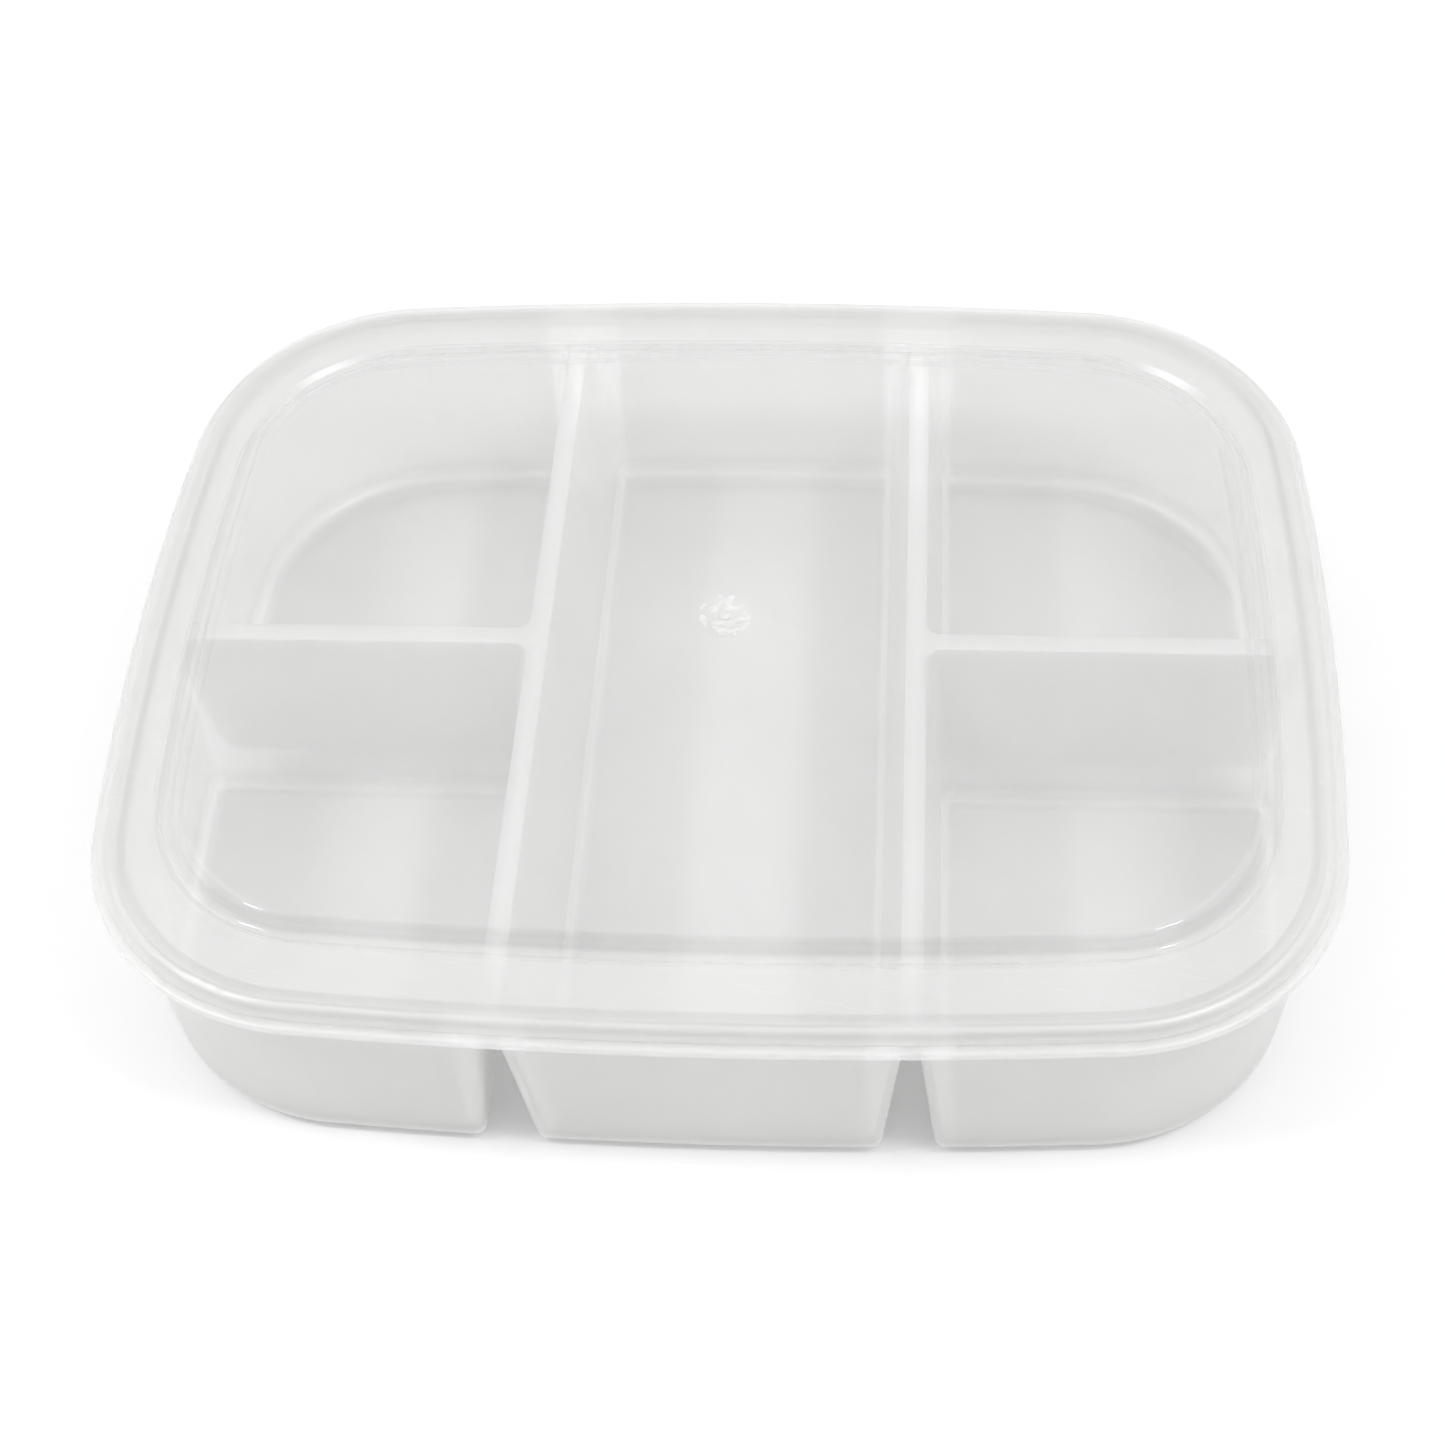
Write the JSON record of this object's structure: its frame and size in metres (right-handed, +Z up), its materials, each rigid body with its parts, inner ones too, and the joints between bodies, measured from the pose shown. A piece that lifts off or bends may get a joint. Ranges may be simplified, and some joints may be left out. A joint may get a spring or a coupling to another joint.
{
  "type": "compartmented soap mould",
  "caption": "Shallow translucent plastic soap mould: rounded rectangular tub split into pockets by hollow ribs, with a lift-off lid that has a raised panel.",
  "frame": {"origin": "on the resting face, under the middle of the tub", "axes": "+X along the long side, +Y towards the back long side, +Z up towards the lid"},
  "size_m": [0.21, 0.172, 0.0456],
  "materials": {
    "tub_plastic": "natural milky translucent polypropylene, satin",
    "lid_plastic": "natural translucent polypropylene, clear polished panel and finely textured rim"
  },
  "bodies": {
    "tub": {"tub": "tub_plastic"},
    "lid": {"lid": "lid_plastic"}
  },
  "joints": [
    {"name": "lid_lift", "type": "slide", "parent": "tub", "child": "lid", "axis": [0, 0, 1], "range_m": [0, 0.06]}
  ]
}
